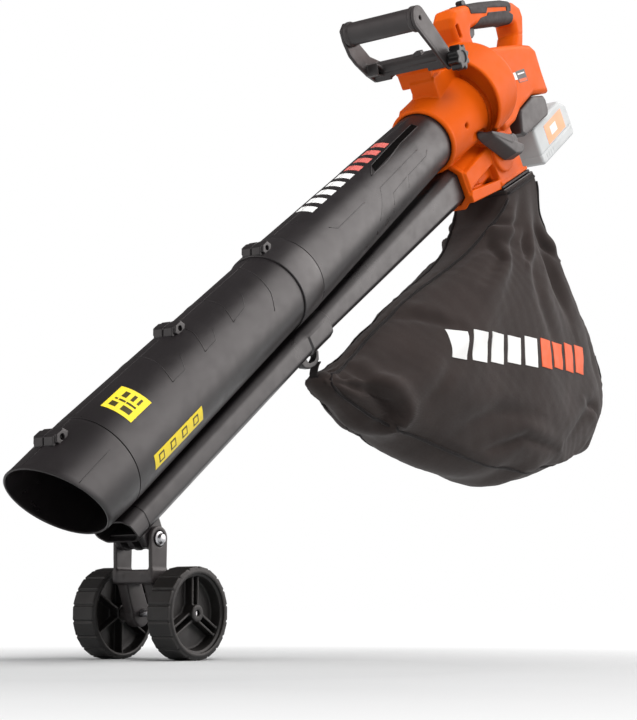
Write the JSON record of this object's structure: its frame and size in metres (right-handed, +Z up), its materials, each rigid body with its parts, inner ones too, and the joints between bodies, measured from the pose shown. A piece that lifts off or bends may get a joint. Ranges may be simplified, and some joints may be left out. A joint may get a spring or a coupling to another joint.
{
  "type": "leaf vacuum mulcher",
  "caption": "Battery leaf blower and vacuum with a long suction tube, a blower duct, a wheeled front carriage, two handles and a hanging collecting bag.",
  "frame": {"origin": "middle of the overall length and width, on the floor plane under the wheels", "axes": "+X forwards towards the suction mouth, +Y to the machine's left, +Z up"},
  "size_m": [1.3204, 0.21, 1.0051],
  "materials": {
    "housing_left": "moulded orange plastic, satin gloss",
    "housing_right": "moulded orange plastic, satin gloss",
    "upper_tube": "moulded black plastic, satin gloss",
    "lower_tube": "moulded black plastic, satin gloss",
    "suction_nozzle": "moulded black plastic, satin gloss",
    "nozzle_screw": "zinc-plated steel",
    "joint_screw": "zinc-plated steel",
    "blower_tube_upper": "moulded black plastic, satin gloss",
    "blower_tube_lower": "moulded black plastic, satin gloss",
    "bag_hook": "moulded black plastic, satin gloss",
    "motor_can": "zinc-plated steel",
    "bearing_front": "zinc-plated steel",
    "bearing_rear": "zinc-plated steel",
    "housing_screw": "zinc-plated steel",
    "outlet_rim": "soft over-moulded rubber",
    "rear_grip_cover": "soft over-moulded rubber",
    "trigger_switch": "moulded black plastic, satin gloss",
    "control_board": "coated circuit board",
    "battery_dock": "dark grey moulded plastic, matt",
    "dock_terminals": "contact metal",
    "strap_eye": "moulded black plastic, satin gloss",
    "impeller": "glass-filled nylon",
    "motor_shaft": "zinc-plated steel",
    "impeller_nut": "zinc-plated steel",
    "selector_lever": "moulded black plastic, satin gloss",
    "selector_shaft": "zinc-plated steel",
    "diverter_drum": "dark grey moulded plastic, matt",
    "front_handle_frame": "dark grey moulded plastic, matt",
    "front_grip": "soft over-moulded rubber",
    "grip_screw": "zinc-plated steel",
    "handle_bolt": "zinc-plated steel",
    "handle_knob": "moulded black plastic, satin gloss",
    "trigger": "moulded black plastic, satin gloss",
    "lock_button": "moulded black plastic, satin gloss",
    "battery_pack": "pale grey plastic",
    "battery_button": "dark grey moulded plastic, matt",
    "carriage_bracket": "dark grey moulded plastic, matt",
    "axle": "zinc-plated steel",
    "axle_spacer_left": "dark grey moulded plastic, matt",
    "axle_spacer_right": "dark grey moulded plastic, matt",
    "pivot_bolt": "zinc-plated steel",
    "pivot_nut": "zinc-plated steel",
    "wheel_left": "moulded black plastic, satin gloss",
    "wheel_right": "moulded black plastic, satin gloss",
    "bag_neck_frame": "moulded black plastic, satin gloss",
    "bag_body": "woven polyester, dark",
    "bag_zip": "moulded black plastic, satin gloss",
    "zip_pull": "zinc-plated steel"
  },
  "bodies": {
    "machine": {"housing_left": "housing_left", "housing_right": "housing_right", "upper_tube": "upper_tube", "lower_tube": "lower_tube", "suction_nozzle": "suction_nozzle", "nozzle_screw": "nozzle_screw", "joint_screw": "joint_screw", "blower_tube_upper": "blower_tube_upper", "blower_tube_lower": "blower_tube_lower", "bag_hook": "bag_hook", "motor_can": "motor_can", "bearing_front": "bearing_front", "bearing_rear": "bearing_rear", "housing_screw": "housing_screw", "outlet_rim": "outlet_rim", "rear_grip_cover": "rear_grip_cover", "trigger_switch": "trigger_switch", "control_board": "control_board", "battery_dock": "battery_dock", "dock_terminals": "dock_terminals", "strap_eye": "strap_eye"},
    "rotor": {"impeller": "impeller", "motor_shaft": "motor_shaft", "impeller_nut": "impeller_nut"},
    "selector": {"selector_lever": "selector_lever", "selector_shaft": "selector_shaft", "diverter_drum": "diverter_drum"},
    "front_handle": {"front_handle_frame": "front_handle_frame", "front_grip": "front_grip", "grip_screw": "grip_screw", "handle_bolt": "handle_bolt"},
    "clamp_knob": {"handle_knob": "handle_knob"},
    "trigger": {"trigger": "trigger"},
    "lock_button": {"lock_button": "lock_button"},
    "battery": {"battery_pack": "battery_pack"},
    "battery_button": {"battery_button": "battery_button"},
    "carriage": {"carriage_bracket": "carriage_bracket", "axle": "axle", "axle_spacer_left": "axle_spacer_left", "axle_spacer_right": "axle_spacer_right", "pivot_bolt": "pivot_bolt", "pivot_nut": "pivot_nut"},
    "wheel_left": {"wheel_left": "wheel_left"},
    "wheel_right": {"wheel_right": "wheel_right"},
    "bag": {"bag_neck_frame": "bag_neck_frame", "bag_body": "bag_body", "bag_zip": "bag_zip"},
    "zip_pull": {"zip_pull": "zip_pull"}
  },
  "joints": [
    {"name": "rotor_spin", "type": "hinge", "parent": "machine", "child": "rotor", "pos_m": [-0.22367, 0, 0.79801], "axis": [0.7949, 0, -0.6068], "continuous": true},
    {"name": "selector_turn", "type": "hinge", "parent": "machine", "child": "selector", "pos_m": [-0.2774, 0, 0.73586], "axis": [0, 1, 0], "range_deg": [0, 70]},
    {"name": "front_handle_tilt", "type": "hinge", "parent": "machine", "child": "front_handle", "pos_m": [-0.09524, 0, 0.82452], "axis": [0, 1, 0], "range_deg": [-30, 45]},
    {"name": "clamp_knob_turn", "type": "hinge", "parent": "front_handle", "child": "clamp_knob", "pos_m": [-0.09524, 0, 0.82452], "axis": [0, 1, 0], "range_deg": [-180, 180]},
    {"name": "trigger_pull", "type": "slide", "parent": "machine", "child": "trigger", "axis": [0.3383, 0, 0.941], "range_m": [0, 0.005], "stiffness_N_per_m": 800, "springref_m": -0.002},
    {"name": "lock_press", "type": "slide", "parent": "machine", "child": "lock_button", "axis": [-0.6068, 0, -0.7949], "range_m": [0, 0.004], "stiffness_N_per_m": 800, "springref_m": -0.002},
    {"name": "battery_slide", "type": "slide", "parent": "machine", "child": "battery", "axis": [-0.7949, 0, 0.6068], "range_m": [0, 0.13]},
    {"name": "battery_button_press", "type": "slide", "parent": "battery", "child": "battery_button", "axis": [0.7949, 0, -0.6068], "range_m": [0, 0.002], "stiffness_N_per_m": 800, "springref_m": -0.002},
    {"name": "carriage_swing", "type": "hinge", "parent": "machine", "child": "carriage", "pos_m": [0.47558, 0, 0.13024], "axis": [0, 1, 0], "range_deg": [-30, 20]},
    {"name": "wheel_left_spin", "type": "hinge", "parent": "carriage", "child": "wheel_left", "pos_m": [0.45743, 0.054, 0.05], "axis": [0, 1, 0], "continuous": true},
    {"name": "wheel_right_spin", "type": "hinge", "parent": "carriage", "child": "wheel_right", "pos_m": [0.45743, -0.054, 0.05], "axis": [0, 1, 0], "continuous": true},
    {"name": "bag_slide", "type": "slide", "parent": "machine", "child": "bag", "axis": [-0.6068, 0, -0.7949], "range_m": [0, 0.1], "stiffness_N_per_m": 400, "springref_m": -0.02},
    {"name": "zip_slide", "type": "slide", "parent": "bag", "child": "zip_pull", "axis": [-0.0143, 0, -0.9999], "range_m": [0, 0.06]}
  ]
}
